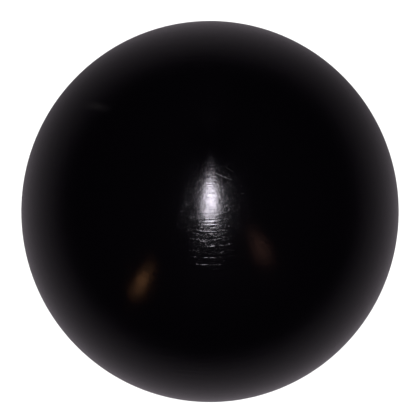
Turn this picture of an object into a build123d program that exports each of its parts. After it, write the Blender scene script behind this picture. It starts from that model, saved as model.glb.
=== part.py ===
# A lawn bowl, standing on its running surface. Millimetres, +Z up, origin at the bowl's centre.
# The bowl is a body of revolution about the X axis, and its weighted (bias) side faces +X.
import os
from math import sqrt

from build123d import *

# Body: an oval of revolution, cut to a flat land in the middle of each side
running_radius = 60.5
side_radius = 59.9
land_radius = 17.0
land_edge_round = 2.0

# Discs, let into the lands on a bed of cement
bias_disc_radius = 11.0
plain_disc_radius = 14.5
disc_thickness = 3.0
disc_edge_chamfer = 0.4
disc_below_land = 0.4
disc_side_gap = 0.1
cement_thickness = 0.4

# Bore under the bias side's disc, with its weight, the weight's cement and a plug
bore_radius = 9.5
bore_depth = 26.0
weight_radius = 9.0
weight_length = 14.0
weight_chamfer = 0.8
groove_radius = 0.6
groove_count = 3
bed_thickness = 1.0
cement_short_of_end = 1.0
plug_gap = 0.5
plug_chamfer = 0.6

# Engraving of the discs, and the wax that fills it
line_width = 0.45
engraving_depth = 0.5
wax_below_face = 0.08
rim_line_inset = 1.2
dot_ring_inset = 2.3
dot_radius = 0.4
dot_count = 24
rosette_inset = 3.4
petal_count = 6
centre_dot_radius = 0.8

# Distances from the centre along X, worked out from the sizes above
land_x = side_radius * sqrt(1 - (land_radius / running_radius) ** 2)
disc_face_x = land_x - disc_below_land
disc_back_x = disc_face_x - disc_thickness
recess_floor_x = disc_back_x - cement_thickness
recess_depth = land_x - recess_floor_x
bore_floor_x = recess_floor_x - bore_depth
weight_start_x = bore_floor_x + bed_thickness
plug_start_x = weight_start_x + weight_length + plug_gap

# Planes through the centre that look out of each side of the bowl
bias_side = Plane(origin=(0, 0, 0), x_dir=(0, 1, 0), z_dir=(1, 0, 0))
plain_side = Plane(origin=(0, 0, 0), x_dir=(0, -1, 0), z_dir=(-1, 0, 0))

os.makedirs("parts", exist_ok=True)


def save(piece, name):
    """Label a finished piece and write it to parts/name.step."""
    piece.part.label = name
    export_step(piece.part, f"parts/{name}.step")


def ring(radius):
    """One engraved line that runs round in a circle of this radius."""
    with BuildSketch() as line:
        Circle(radius + line_width / 2)
        Circle(radius - line_width / 2, mode=Mode.SUBTRACT)
    return line.sketch


def engraving(disc_radius):
    """A disc's engraved pattern: a rim line, a ring of dots and a rosette drawn with compasses."""
    rosette_radius = disc_radius - rosette_inset
    petal_circle = ring(rosette_radius)
    rim_line = ring(disc_radius - rim_line_inset)
    with BuildSketch() as pattern:
        with PolarLocations(rosette_radius, petal_count):
            add(petal_circle)
        Circle(rosette_radius, mode=Mode.INTERSECT)
        Circle(centre_dot_radius)
        add(rim_line)
        with PolarLocations(disc_radius - dot_ring_inset, dot_count):
            Circle(dot_radius)
    return pattern.sketch


# Body
with BuildPart() as bowl_body:
    with BuildSketch(Plane.XY):
        Ellipse(side_radius, running_radius)
        Rectangle(2 * land_x, running_radius, align=(Align.CENTER, Align.MIN), mode=Mode.INTERSECT)
    revolve(axis=Axis.X)
    fillet(bowl_body.edges().filter_by(GeomType.CIRCLE), radius=land_edge_round)
    with BuildSketch(bias_side.offset(recess_floor_x)):
        Circle(bias_disc_radius + disc_side_gap)
    extrude(amount=recess_depth, mode=Mode.SUBTRACT)
    with BuildSketch(bias_side.offset(bore_floor_x)):
        Circle(bore_radius)
    extrude(amount=bore_depth, mode=Mode.SUBTRACT)
    with BuildSketch(plain_side.offset(recess_floor_x)):
        Circle(plain_disc_radius + disc_side_gap)
    extrude(amount=recess_depth, mode=Mode.SUBTRACT)
save(bowl_body, "bowl_body")

# Weight: a slug with chamfered ends, and grooves round it that key it into the cement
with BuildPart() as bias_weight:
    with BuildSketch(bias_side.offset(weight_start_x)):
        Circle(weight_radius)
    extrude(amount=weight_length)
    chamfer(bias_weight.edges().filter_by(GeomType.CIRCLE), length=weight_chamfer)
    for number in range(groove_count):
        groove_x = weight_start_x + weight_length * (number + 1) / (groove_count + 1)
        with Locations(bias_side.offset(groove_x)):
            Torus(weight_radius, groove_radius, mode=Mode.SUBTRACT)
save(bias_weight, "bias_weight")

# Cement that beds the weight in the floor of the bore and round its side
with BuildPart() as weight_cement:
    with BuildSketch(bias_side.offset(bore_floor_x)):
        Circle(bore_radius)
    extrude(amount=bed_thickness + weight_length - cement_short_of_end)
    add(bias_weight.part, mode=Mode.SUBTRACT)
save(weight_cement, "weight_cement")

# Plug that closes the bore, flush with the floor of the disc's recess
with BuildPart() as bore_plug:
    with BuildSketch(bias_side.offset(plug_start_x)):
        Circle(bore_radius)
    extrude(amount=recess_floor_x - plug_start_x)
    chamfer(bore_plug.edges().filter_by(GeomType.CIRCLE).sort_by(Axis.X)[0], length=plug_chamfer)
save(bore_plug, "bore_plug")

# Discs: the smaller marks the bias side, the larger the plain side
for side, side_name, disc_radius in (
    (bias_side, "bias_side", bias_disc_radius),
    (plain_side, "plain_side", plain_disc_radius),
):
    pattern = engraving(disc_radius)

    with BuildPart() as cement:
        with BuildSketch(side.offset(recess_floor_x)):
            Circle(disc_radius)
        extrude(amount=cement_thickness)
    save(cement, f"{side_name}_cement")

    with BuildPart() as disc:
        with BuildSketch(side.offset(disc_back_x)):
            Circle(disc_radius)
        extrude(amount=disc_thickness)
        chamfer(disc.edges().filter_by(GeomType.CIRCLE), length=disc_edge_chamfer)
        with BuildSketch(side.offset(disc_face_x)):
            add(pattern)
        extrude(amount=-engraving_depth, mode=Mode.SUBTRACT)
    save(disc, f"{side_name}_disc")

    with BuildPart() as wax:
        with BuildSketch(side.offset(disc_face_x - engraving_depth)):
            add(pattern)
        extrude(amount=engraving_depth - wax_below_face)
    save(wax, f"{side_name}_wax")
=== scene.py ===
from math import atan2, cos, pi, radians, sin, sqrt

import bpy
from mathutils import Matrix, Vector


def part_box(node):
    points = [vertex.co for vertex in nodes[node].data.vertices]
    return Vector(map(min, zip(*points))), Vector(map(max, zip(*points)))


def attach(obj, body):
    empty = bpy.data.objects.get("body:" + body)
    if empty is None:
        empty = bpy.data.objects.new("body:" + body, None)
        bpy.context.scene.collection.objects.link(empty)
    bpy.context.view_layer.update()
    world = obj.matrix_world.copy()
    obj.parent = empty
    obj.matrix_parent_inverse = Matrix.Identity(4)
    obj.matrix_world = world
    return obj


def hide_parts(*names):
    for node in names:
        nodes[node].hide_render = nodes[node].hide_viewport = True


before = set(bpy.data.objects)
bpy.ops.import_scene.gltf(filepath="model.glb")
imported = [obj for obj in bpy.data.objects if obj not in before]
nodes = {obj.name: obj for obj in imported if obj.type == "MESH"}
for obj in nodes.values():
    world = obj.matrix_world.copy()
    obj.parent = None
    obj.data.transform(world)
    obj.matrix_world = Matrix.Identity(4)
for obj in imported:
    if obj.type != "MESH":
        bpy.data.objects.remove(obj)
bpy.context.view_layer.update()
scene = bpy.context.scene
MM = 0.001

# ---------------------------------------------------------------- sizes


def radius_of(node):
    """Radius of a round CAD node that lies along X."""
    low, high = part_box(node)
    return (high.y - low.y) / 2


# Read from the frame
LAND_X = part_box("bowl_body")[1].x
RUNNING_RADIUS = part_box("bowl_body")[1].z
BORE_RADIUS = radius_of("bore_plug")
BORE_FLOOR_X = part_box("weight_cement")[0].x
RECESS_FLOOR_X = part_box("bias_side_cement")[0].x
BIAS_DISC_RADIUS = radius_of("bias_side_disc")
PLAIN_DISC_RADIUS = radius_of("plain_side_disc")
# As in the CAD: the gap round each disc, and the land before its edge is rounded
SIDE_GAP = 0.1 * MM
LAND_RADIUS = 17 * MM
LAND_EDGE_ROUND = 2 * MM
# Only here: the lip of each disc's recess is sharp in the CAD
LIP_ROUND = 0.15 * MM

# ---------------------------------------------------------------- small node helpers


class Tree:
    """One node tree, with short calls that add a node, set its inputs and return an output."""

    def __init__(self, tree):
        self.tree = tree
        tree.nodes.clear()

    def add(self, kind, inputs=(), **settings):
        """A node with these settings; inputs maps a socket's name or number to a value or an output."""
        node = self.tree.nodes.new(kind)
        for name, value in settings.items():
            setattr(node, name, value)
        for socket, value in dict(inputs).items():
            self.put(node, socket, value)
        return node

    def put(self, node, socket, value):
        """Set or link one input of a node."""
        if isinstance(value, bpy.types.NodeSocket):
            self.tree.links.new(value, node.inputs[socket])
        else:
            node.inputs[socket].default_value = value

    def math(self, operation, a, b=0.0, c=0.0, clamp=False):
        """One Math node."""
        inputs = {0: a, 1: b, 2: c}
        return self.add("ShaderNodeMath", inputs, operation=operation, use_clamp=clamp).outputs[0]

    def vector(self, operation, a, b=(0, 0, 0)):
        """One Vector Math node with a vector result."""
        return self.add("ShaderNodeVectorMath", {0: a, 1: b}, operation=operation).outputs[0]

    def dot(self, a, b):
        """Dot product of two vectors."""
        return self.add("ShaderNodeVectorMath", {0: a, 1: b}, operation="DOT_PRODUCT").outputs["Value"]

    def place(self):
        """The point in the frame, in metres."""
        return self.add("ShaderNodeTexCoord").outputs["Object"]

    def noise(self, vector, scale, detail=2.0):
        """Noise from 0 to 1."""
        inputs = {"Vector": vector, "Scale": scale, "Detail": detail}
        return self.add("ShaderNodeTexNoise", inputs).outputs[0]

    def line_noise(self, distance, scale):
        """Noise from 0 to 1 that changes with one distance only."""
        inputs = {"W": distance, "Scale": scale}
        return self.add("ShaderNodeTexNoise", inputs, noise_dimensions="1D").outputs[0]

    def cells(self, vector, scale):
        """Distance to the nearest of many scattered points."""
        inputs = {"Vector": vector, "Scale": scale}
        return self.add("ShaderNodeTexVoronoi", inputs).outputs["Distance"]

    def smooth(self, value, low, high, to_low=0.0, to_high=1.0):
        """Smooth step of a value from one range to another."""
        inputs = {0: value, 1: low, 2: high, 3: to_low, 4: to_high}
        node = self.add("ShaderNodeMapRange", inputs, interpolation_type="SMOOTHSTEP")
        return node.outputs[0]

    def mix(self, factor, a, b):
        """Mix of two colours. Their sockets have the same names as the others', so they go by number."""
        node = self.add("ShaderNodeMix", data_type="RGBA")
        self.put(node, 0, factor)
        self.put(node, 6, a)
        self.put(node, 7, b)
        return node.outputs[2]

    def bump(self, height, distance=MM):
        """Bump from a height in mm, or in another unit if distance says how long that is."""
        return self.add("ShaderNodeBump", {"Height": height, "Distance": distance}).outputs[0]


def material(name, build):
    """A material whose tree is built by build(tree) and whose shader settings build returns."""
    made = bpy.data.materials.new(name)
    made.use_nodes = True
    tree = Tree(made.node_tree)
    shader = tree.add("ShaderNodeBsdfPrincipled", build(tree))
    tree.add("ShaderNodeOutputMaterial", {0: shader.outputs[0]})
    return made


# ---------------------------------------------------------------- body material

# Centre of the buffing marks: tilted from straight up towards the picture's top
BUFF_TILT = radians(13)
BUFF_POLE = (0, sin(BUFF_TILT), cos(BUFF_TILT))
# Marks all over: pitch in mm, how fast they change along their length, and depth in mm
FINE_MARKS = (0.28, 9.0, 0.034)
# Coarser marks of one patch, on the line from the pole through the middle
COARSE_MARKS = (0.45, 16.0, 0.052)
ROUGH_PATCH_TILT = radians(10)
ROUGH_PATCH = (0, -sin(ROUGH_PATCH_TILT), cos(ROUGH_PATCH_TILT))
# Angles from the patch's middle: its edge, and where its marks have their full depth
ROUGH_PATCH_EDGE = radians(6.6)
ROUGH_PATCH_FULL = radians(4.5)
# Deeper marks of the patch: angle from the pole in degrees, half width in degrees, depth in mm
BUFF_LINES = (
    (21.05, 0.13, 0.009), (21.55, 0.12, 0.009), (22.65, 0.13, 0.012),
    (24.15, 0.14, 0.016), (25.25, 0.17, 0.021), (26.85, 0.16, 0.022),
)
# How far they wander towards the pole and away from it
MARK_WANDER = radians(0.3)
# Pits and grain of the polish: scales per metre, the pits' radius as a part of a cell, and depths in mm
PIT_SCALE = 1500.0
PIT_RADIUS = 0.23
PIT_DEPTH = 0.0145
GRAIN_SCALE = 2300.0
GRAIN_DEPTH = 0.022
COAT_GRAIN_DEPTH = 0.045
# Roughness of the polish, which is a half of this at the pole and all of it from the calm angle on
LEAST_ROUGHNESS, MOST_ROUGHNESS = 0.12, 0.135
POLE_CALM = 0.5
CALM_ANGLE = radians(7)
# Specks of dust: scale per metre, and where they are full and gone, as parts of a cell
DUST_SCALE = 85.0
DUST_FULL, DUST_GONE = 0.008, 0.014
# Scratches: tilt right and up from the middle and heading in degrees, then length and half width in mm
SCRATCHES = ((2.4, 5.95, -22, 4.4, 0.13), (3.7, 5.35, -17, 3.8, 0.10), (4.4, 7.3, -32, 3.0, 0.26))
# Their bow per mm, the part of their length that doesn't fade, their depth in mm and their roughness
SCRATCH_BOW = 0.02
SCRATCH_SOLID = 0.6
SCRATCH_DEPTH = 0.006
SCRATCH_ROUGHNESS = 0.34
# A faint patch towards the upper left where the base colour is a lighter grey, in the same terms
PALE_PATCH = (-38.2, 32.7, -28, 14.0, 1.7)
PALE_PATCH_GREY = 0.15


def scratch_mask(tree, outward, scratch, bow=0.0, solid=0.0):
    """1 on a scratch's middle line and 0 away from it. Past its solid part it fades to its ends."""
    right, up, heading, length, half_width = scratch
    middle = Vector((sin(radians(right)), sin(radians(up)), 1)).normalized()
    along = Vector((cos(radians(heading)), sin(radians(heading)), 0))
    along = (along - middle * along.dot(middle)).normalized()
    across = middle.cross(along)
    radius = RUNNING_RADIUS / MM
    u = tree.math("MULTIPLY", tree.dot(outward, tuple(along)), radius)
    v = tree.math("MULTIPLY", tree.dot(outward, tuple(across)), radius)
    bowed = tree.math("MULTIPLY_ADD", tree.math("MULTIPLY", u, u), bow, v)
    line = tree.smooth(tree.math("ABSOLUTE", bowed), 0.0, half_width, 1.0, 0.0)
    reach = tree.smooth(tree.math("ABSOLUTE", u), solid * length / 2, length / 2, 1.0, 0.0)
    near_side = tree.math("GREATER_THAN", tree.dot(outward, tuple(middle)), 0.0)
    return tree.math("MULTIPLY", tree.math("MULTIPLY", line, reach), near_side)


def polished_black(tree):
    """Black composition, turned and buffed: fine circular marks about the buffing pole."""
    place = tree.place()
    outward = tree.vector("NORMALIZE", place)
    pole_angle = tree.math("ARCCOSINE", tree.dot(outward, BUFF_POLE))
    from_patch = tree.dot(outward, ROUGH_PATCH)
    patch = tree.smooth(from_patch, cos(ROUGH_PATCH_EDGE), cos(ROUGH_PATCH_FULL))

    normal = tree.add("ShaderNodeNewGeometry").outputs["Normal"]
    round_pole = tree.vector("CROSS_PRODUCT", BUFF_POLE, normal)
    towards_pole = tree.vector("CROSS_PRODUCT", normal, round_pole)

    # Ring marks: noise that changes fast with the angle from the pole and slowly round it
    split = tree.add("ShaderNodeSeparateXYZ", {0: outward})

    def ring_marks(pitch, stretch, depth):
        feed = {
            0: tree.math("MULTIPLY", split.outputs[0], stretch),
            1: tree.math("MULTIPLY", split.outputs[1], stretch),
            2: tree.math("MULTIPLY", pole_angle, RUNNING_RADIUS / MM / pitch),
        }
        marks = tree.noise(tree.add("ShaderNodeCombineXYZ", feed).outputs[0], 1.0)
        return tree.math("MULTIPLY", marks, depth)

    height = tree.math("MULTIPLY_ADD", ring_marks(*COARSE_MARKS), patch, ring_marks(*FINE_MARKS))

    # Deeper marks, which wander a little and break up along their length
    wander = tree.math("MULTIPLY_ADD", tree.noise(outward, scale=12.0), MARK_WANDER, pole_angle)
    breaks = tree.smooth(tree.noise(outward, scale=40.0, detail=3.0), 0.35, 0.48)
    breaks = tree.math("MULTIPLY", breaks, patch)
    for angle, half_width, depth in BUFF_LINES:
        away = tree.math("ABSOLUTE", tree.math("SUBTRACT", wander, radians(angle)))
        line = tree.smooth(away, 0.0, radians(half_width), -depth, 0.0)
        height = tree.math("MULTIPLY_ADD", line, breaks, height)

    scratched = 0.0
    for scratch in SCRATCHES:
        mask = scratch_mask(tree, outward, scratch, SCRATCH_BOW, SCRATCH_SOLID)
        scratched = tree.math("MAXIMUM", scratched, mask)
    height = tree.math("MULTIPLY_ADD", scratched, -SCRATCH_DEPTH, height)

    # Grain of the polish
    pits = tree.smooth(tree.cells(place, PIT_SCALE), 0.0, PIT_RADIUS, -PIT_DEPTH, 0.0)
    height = tree.math("ADD", pits, height)
    grain = tree.noise(place, GRAIN_SCALE, detail=3.0)
    coat_height = tree.math("MULTIPLY_ADD", grain, COAT_GRAIN_DEPTH, height)
    height = tree.math("MULTIPLY_ADD", grain, GRAIN_DEPTH, height)

    # Smoother at the pole, and rougher along the scratches
    smear = tree.noise(outward, scale=3.0, detail=3.0)
    calm = tree.smooth(pole_angle, 0.0, CALM_ANGLE, POLE_CALM, 1.0)
    polish = tree.smooth(smear, 0.3, 0.7, LEAST_ROUGHNESS, MOST_ROUGHNESS)
    polish = tree.math("MULTIPLY", polish, calm)
    roughness = tree.math("MAXIMUM", polish, tree.math("MULTIPLY", scratched, SCRATCH_ROUGHNESS))

    # Black, with specks of dust and a faint lighter grey patch towards the upper left
    shade = tree.noise(place, scale=60.0)
    black = tree.mix(shade, (0.0001, 0.0, 0.0003, 1), (0.0003, 0.00005, 0.0005, 1))
    dust = tree.smooth(tree.cells(place, DUST_SCALE), DUST_FULL, DUST_GONE, 1.0, 0.0)
    patchy = tree.smooth(tree.noise(outward, scale=45.0), 0.35, 0.6, 0.6, 1.0)
    # The patch only lightens the base colour towards grey; it leaves roughness and bump as they are
    pale_patch = tree.math("MULTIPLY", scratch_mask(tree, outward, PALE_PATCH), patchy)
    dust_and_pale_patch = tree.math("MAXIMUM", dust, tree.math("MULTIPLY", pale_patch, PALE_PATCH_GREY))
    return {
        "Base Color": tree.mix(dust_and_pale_patch, black, (0.024, 0.022, 0.022, 1)),
        "Roughness": roughness,
        "IOR": 1.5,
        "Anisotropic": 0.85,
        "Tangent": towards_pole,
        "Normal": tree.bump(height),
        "Coat Weight": 0.145,
        "Coat Roughness": 0.20,
        "Coat Normal": tree.bump(coat_height),
    }


# ---------------------------------------------------------------- other materials


def out_and_along(tree, place):
    """Distance out from the X axis and place along it. A lathe's rings are noise in one of them."""
    split = tree.add("ShaderNodeSeparateXYZ", {0: place})
    flat = tree.add("ShaderNodeCombineXYZ", {0: split.outputs[1], 1: split.outputs[2]}).outputs[0]
    out = tree.add("ShaderNodeVectorMath", {0: flat}, operation="LENGTH").outputs["Value"]
    return out, split.outputs[0]


def ivory(disc_radius):
    """Cream disc: cloudy colour, yellower and grubbier towards its rim, with faint lathe rings."""

    def build(tree):
        place = tree.place()
        out, _ = out_and_along(tree, place)
        clouds = tree.noise(place, scale=150.0, detail=4.0)
        cream = tree.mix(tree.smooth(clouds, 0.35, 0.65), (0.58, 0.45, 0.26, 1), (0.78, 0.70, 0.51, 1))
        worn = tree.math("MULTIPLY_ADD", clouds, -3 * MM, out)
        rim = tree.smooth(worn, 0.62 * disc_radius, 0.92 * disc_radius, 0.0, 0.75)
        cream = tree.mix(rim, cream, (0.40, 0.26, 0.11, 1))
        specks = tree.smooth(tree.noise(place, scale=900.0, detail=3.0), 0.56, 0.72, 0.0, 0.55)
        height = tree.math("MULTIPLY", tree.line_noise(out, scale=3500.0), 0.012)
        height = tree.math("MULTIPLY_ADD", tree.noise(place, scale=1400.0), 0.006, height)
        return {
            "Base Color": tree.mix(specks, cream, (0.26, 0.16, 0.08, 1)),
            "Roughness": tree.smooth(clouds, 0.2, 0.8, 0.28, 0.4),
            "Subsurface Weight": 0.15,
            "Subsurface Scale": 0.4 * MM,
            "Normal": tree.bump(height),
        }

    return build


def wax(tree):
    """Dark wax rubbed into the engraving."""
    place = tree.place()
    lumps = tree.noise(place, scale=1800.0, detail=3.0)
    return {
        "Base Color": tree.mix(lumps, (0.018, 0.010, 0.007, 1), (0.055, 0.030, 0.016, 1)),
        "Roughness": tree.smooth(lumps, 0.3, 0.7, 0.4, 0.6),
        "Normal": tree.bump(lumps, 0.03 * MM),
    }


def cement(tree):
    """Brown shellac cement with trapped bubbles."""
    place = tree.place()
    bubbles = tree.smooth(tree.cells(place, scale=700.0), 0.12, 0.3)
    tone = tree.noise(place, scale=220.0, detail=4.0)
    return {
        "Base Color": tree.mix(tone, (0.10, 0.05, 0.025, 1), (0.24, 0.14, 0.07, 1)),
        "Roughness": tree.smooth(tone, 0.3, 0.7, 0.3, 0.5),
        "Normal": tree.bump(bubbles, 0.06 * MM),
    }


def turned_brass(tree):
    """Brass with lathe rings and brown tarnish."""
    place = tree.place()
    out, along = out_and_along(tree, place)
    rings = tree.math("ADD", tree.line_noise(out, scale=2600.0), tree.line_noise(along, scale=2600.0))
    height = tree.math("MULTIPLY", rings, 0.015)
    tarnish = tree.smooth(tree.noise(place, scale=130.0, detail=5.0), 0.35, 0.75)
    return {
        "Base Color": tree.mix(tarnish, (0.78, 0.57, 0.25, 1), (0.33, 0.20, 0.09, 1)),
        "Metallic": 1.0,
        "Roughness": tree.smooth(tarnish, 0.0, 1.0, 0.22, 0.5),
        "Normal": tree.bump(height),
    }


def sawn_black(tree):
    """Black composition where it was bored and not polished."""
    place = tree.place()
    out, _ = out_and_along(tree, place)
    rings = tree.math("MULTIPLY", tree.line_noise(out, scale=1800.0), 0.03)
    grain = tree.noise(place, scale=900.0, detail=3.0)
    height = tree.math("MULTIPLY_ADD", grain, 0.02, rings)
    return {
        "Base Color": tree.mix(grain, (0.010, 0.009, 0.009, 1), (0.030, 0.026, 0.024, 1)),
        "Roughness": tree.smooth(grain, 0.3, 0.7, 0.5, 0.7),
        "Normal": tree.bump(height),
    }


# ---------------------------------------------------------------- turned body


def arc(centre, radius, start, end, steps):
    """Points of an arc between two angles, in the plane of x and distance out from the X axis."""
    angles = [start + (end - start) * step / steps for step in range(steps + 1)]
    return [(centre[0] + radius * cos(a), centre[1] + radius * sin(a)) for a in angles]


# The oval's half axis along X, and how often the search for the land's edge is halved
SIDE_RADIUS = LAND_X / sqrt(1 - (LAND_RADIUS / RUNNING_RADIUS) ** 2)
HALVINGS = 50
LIP_STEPS = 5
LAND_EDGE_STEPS = 8


def oval_point(angle):
    """A point on the body's oval and the direction of its outward normal."""
    point = (SIDE_RADIUS * cos(angle), RUNNING_RADIUS * sin(angle))
    return point, atan2(point[1] / RUNNING_RADIUS**2, point[0] / SIDE_RADIUS**2)


def land_edge_angle():
    """Where, as an angle on the oval, the land's rounded edge runs into it."""
    low, high = 0.0, pi / 4
    for _ in range(HALVINGS):
        middle = (low + high) / 2
        point, normal = oval_point(middle)
        centre_x = point[0] - LAND_EDGE_ROUND * cos(normal)
        if centre_x > LAND_X - LAND_EDGE_ROUND:
            low = middle
        else:
            high = middle
    return low


def side_profile(recess_radius, bore):
    """Points from the axis to the oval on the +X side: bore, recess, lip, land and rounded edge."""
    points = []
    if bore:
        points += [(BORE_FLOOR_X, 0.0), (BORE_FLOOR_X, BORE_RADIUS), (RECESS_FLOOR_X, BORE_RADIUS)]
    else:
        points += [(RECESS_FLOOR_X, 0.0)]
    points.append((RECESS_FLOOR_X, recess_radius))
    points += arc((LAND_X - LIP_ROUND, recess_radius + LIP_ROUND), LIP_ROUND, -pi / 2, 0, LIP_STEPS)
    point, normal = oval_point(land_edge_angle())
    centre_out = point[1] - LAND_EDGE_ROUND * sin(normal)
    points += arc((LAND_X - LAND_EDGE_ROUND, centre_out), LAND_EDGE_ROUND, 0, normal, LAND_EDGE_STEPS)
    return points


ON_AXIS = 1e-9
SHARP_ANGLE = radians(40)


def revolve(name, profile, segments):
    """A closed mesh object turned about the X axis from (x, distance out) points."""
    vertices, faces, rings = [], [], []
    for x, out in profile:
        if out < ON_AXIS:
            rings.append([len(vertices)])
            vertices.append((x, 0, 0))
            continue
        rings.append(list(range(len(vertices), len(vertices) + segments)))
        for step in range(segments):
            angle = 2 * pi * step / segments
            vertices.append((x, out * cos(angle), out * sin(angle)))
    for here, there in zip(rings, rings[1:]):
        for step in range(segments):
            after = (step + 1) % segments
            corners = [here[step % len(here)], here[after % len(here)]]
            corners += [there[after % len(there)], there[step % len(there)]]
            faces.append(list(dict.fromkeys(corners)))
    mesh = bpy.data.meshes.new(name)
    mesh.from_pydata(vertices, [], faces)
    mesh.validate()
    made = bpy.data.objects.new(name, mesh)
    scene.collection.objects.link(made)
    mesh.shade_smooth()
    mesh.set_sharp_from_angle(angle=SHARP_ANGLE)
    made.modifiers.new("even_normals", "WEIGHTED_NORMAL").keep_sharp = True
    return made


OVAL_STEPS = 200
BODY_SEGMENTS = 320

edge_angle = land_edge_angle()
oval_angles = [edge_angle + (pi - 2 * edge_angle) * step / OVAL_STEPS for step in range(1, OVAL_STEPS)]
bias_half = side_profile(BIAS_DISC_RADIUS + SIDE_GAP, bore=True)
plain_half = side_profile(PLAIN_DISC_RADIUS + SIDE_GAP, bore=False)
plain_half = [(-x, out) for x, out in reversed(plain_half)]
body_profile = bias_half + [oval_point(angle)[0] for angle in oval_angles] + plain_half
body = revolve("turned_body", body_profile, BODY_SEGMENTS)
body.data.materials.append(material("polished_black", polished_black))
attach(body, "root")
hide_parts("bowl_body")

# ---------------------------------------------------------------- CAD nodes that stay

wax_material = material("wax", wax)
cement_material = material("cement", cement)
finishes = {
    "bias_weight": material("turned_brass", turned_brass),
    "weight_cement": cement_material,
    "bore_plug": material("sawn_black", sawn_black),
    "bias_side_cement": cement_material,
    "plain_side_cement": cement_material,
    "bias_side_disc": material("small_ivory", ivory(BIAS_DISC_RADIUS)),
    "plain_side_disc": material("large_ivory", ivory(PLAIN_DISC_RADIUS)),
    "bias_side_wax": wax_material,
    "plain_side_wax": wax_material,
}
for node, finish in finishes.items():
    nodes[node].data.materials.clear()
    nodes[node].data.materials.append(finish)

# ---------------------------------------------------------------- floor, world and lights

# Half the floor's width, in metres
FLOOR_HALF = 3.0


def pale_floor(tree):
    """Plain white paper."""
    place = tree.place()
    tone = tree.mix(tree.noise(place, scale=40.0), (0.90, 0.90, 0.90, 1), (0.92, 0.92, 0.92, 1))
    return {"Base Color": tone, "Roughness": 0.9, "Specular IOR Level": 0.0}


floor_mesh = bpy.data.meshes.new("floor")
floor_z = -RUNNING_RADIUS
floor_corners = [(-1, -1), (1, -1), (1, 1), (-1, 1)]
floor_vertices = [(x * FLOOR_HALF, y * FLOOR_HALF, floor_z) for x, y in floor_corners]
floor_mesh.from_pydata(floor_vertices, [], [(0, 1, 2, 3)])
floor = bpy.data.objects.new("floor", floor_mesh)
scene.collection.objects.link(floor)
floor_mesh.materials.append(material("pale_floor", pale_floor))
floor.visible_glossy = False

# Reflections see a dark room over a dim table, which is lighter straight down, on the near side and
# straight across, and darker towards its two far corners
TABLE_GLOW = 0.27
TABLE_FALL_OFF = 0.85
NEAR_SIDE_GLOW = 0.22
FAR_SIDE_GLOW = 0.27
FAR_CORNER_SHADE = 1.1
ROOM_GLOW = 0.0008
GLOW_COLOUR = (0.84, 0.75, 0.84, 1)
# Everything else is lit by an even white glow of this strength
WHITE_GLOW = 1.4
world = bpy.data.worlds.new("studio")
scene.world = world
world.use_nodes = True
air = Tree(world.node_tree)
look = air.add("ShaderNodeTexCoord").outputs["Generated"]
sideways = air.vector("NORMALIZE", air.vector("MULTIPLY", look, (1, 1, 0)))
across = air.dot(sideways, (1, 0, 0))
far = air.math("MAXIMUM", air.dot(sideways, (0, 1, 0)), 0.0)
far = air.math("MULTIPLY", far, far)
far_corner = air.math("MULTIPLY", far, air.math("MULTIPLY", across, across))
uneven = air.math("MULTIPLY_ADD", air.dot(sideways, (0, -1, 0)), NEAR_SIDE_GLOW, 1.0)
uneven = air.math("MULTIPLY_ADD", air.math("MULTIPLY", far, far), FAR_SIDE_GLOW, uneven)
uneven = air.math("MULTIPLY_ADD", far_corner, -FAR_CORNER_SHADE, uneven)
down = air.math("MAXIMUM", air.dot(look, (0, 0, -1)), 0.0)
table = air.math("MULTIPLY", air.math("POWER", down, TABLE_FALL_OFF), TABLE_GLOW)
glow = air.math("MULTIPLY_ADD", table, uneven, ROOM_GLOW)
ray = air.add("ShaderNodeLightPath")
reflected = air.add("ShaderNodeBackground", {"Color": GLOW_COLOUR, "Strength": glow})
plain = air.add("ShaderNodeBackground", {"Strength": WHITE_GLOW})
choice = {0: ray.outputs["Is Glossy Ray"], 1: plain.outputs[0], 2: reflected.outputs[0]}
pick = air.add("ShaderNodeMixShader", choice)
air.add("ShaderNodeOutputWorld", {0: pick.outputs[0]})


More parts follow.
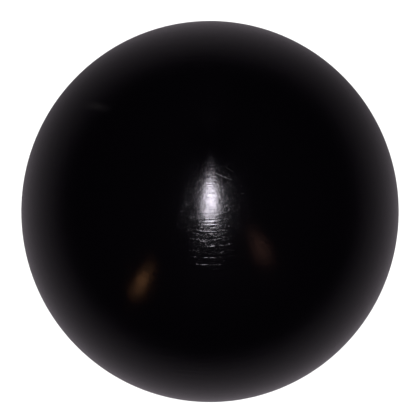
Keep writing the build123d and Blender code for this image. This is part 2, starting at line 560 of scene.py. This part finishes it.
def area_light(name, place, size, power, colour, seen_in_gloss):
    """An oval light that faces the bowl and lights either reflections or everything else.

    The place and size are in metres and the power is in watts.
    """
    data = bpy.data.lights.new(name, "AREA")
    data.shape = "ELLIPSE"
    data.size, data.size_y = size
    data.energy = power
    data.color = colour
    made = bpy.data.objects.new(name, data)
    scene.collection.objects.link(made)
    made.location = place
    made.rotation_euler = Vector(place).to_track_quat("Z", "Y").to_euler()
    made.visible_camera = False
    made.visible_glossy = seen_in_gloss
    made.visible_diffuse = not seen_in_gloss


def place_at(tilt, towards, distance):
    """A place at this tilt from straight up, towards an angle measured from +X, in degrees."""
    flat = distance * sin(radians(tilt))
    return (flat * cos(radians(towards)), flat * sin(radians(towards)), distance * cos(radians(tilt)))


# Soft light from above that reflections don't see
area_light("softbox", (0.0, 0.0, 1.6), (2.2, 2.2), 22.0, (1.0, 1.0, 1.0), False)
# The highlight, and the two warm reflections
area_light("flash", place_at(4.05, 85.5, 0.30), (0.019, 0.083), 0.210, (0.93, 0.885, 0.99), True)
area_light("left_lamp", place_at(53.6, 226.5, 0.60), (0.039, 0.060), 0.0262, (1.0, 0.46, 0.20), True)
area_light("right_lamp", place_at(33.5, 322, 0.60), (0.070, 0.088), 0.0130, (1.0, 0.48, 0.36), True)

# ---------------------------------------------------------------- camera

VIEW_ELEVATION = radians(88)
VIEW_DISTANCE = 3.2 * RUNNING_RADIUS
# The outline's width, and how far its middle is below the picture's, as parts of the picture's width
FILL = 0.908
CENTRE_DROP = 0.0036
# The width of sensor that the lens is worked out for, in mm
SENSOR_WIDTH = 36.0

camera_data = bpy.data.cameras.new("camera")
camera = bpy.data.objects.new("camera", camera_data)
scene.collection.objects.link(camera)
scene.camera = camera
back = Vector((0, -cos(VIEW_ELEVATION), sin(VIEW_ELEVATION)))
camera.location = back * VIEW_DISTANCE
camera.rotation_euler = back.to_track_quat("Z", "Y").to_euler()
outline_tangent = 1 / sqrt((VIEW_DISTANCE / RUNNING_RADIUS) ** 2 - 1)
camera_data.sensor_width = SENSOR_WIDTH
camera_data.lens = SENSOR_WIDTH / 2 * FILL / outline_tangent
camera_data.shift_y = CENTRE_DROP
camera_data.clip_start = 0.01
camera_data.clip_end = 50.0

scene.view_settings.view_transform = "Standard"
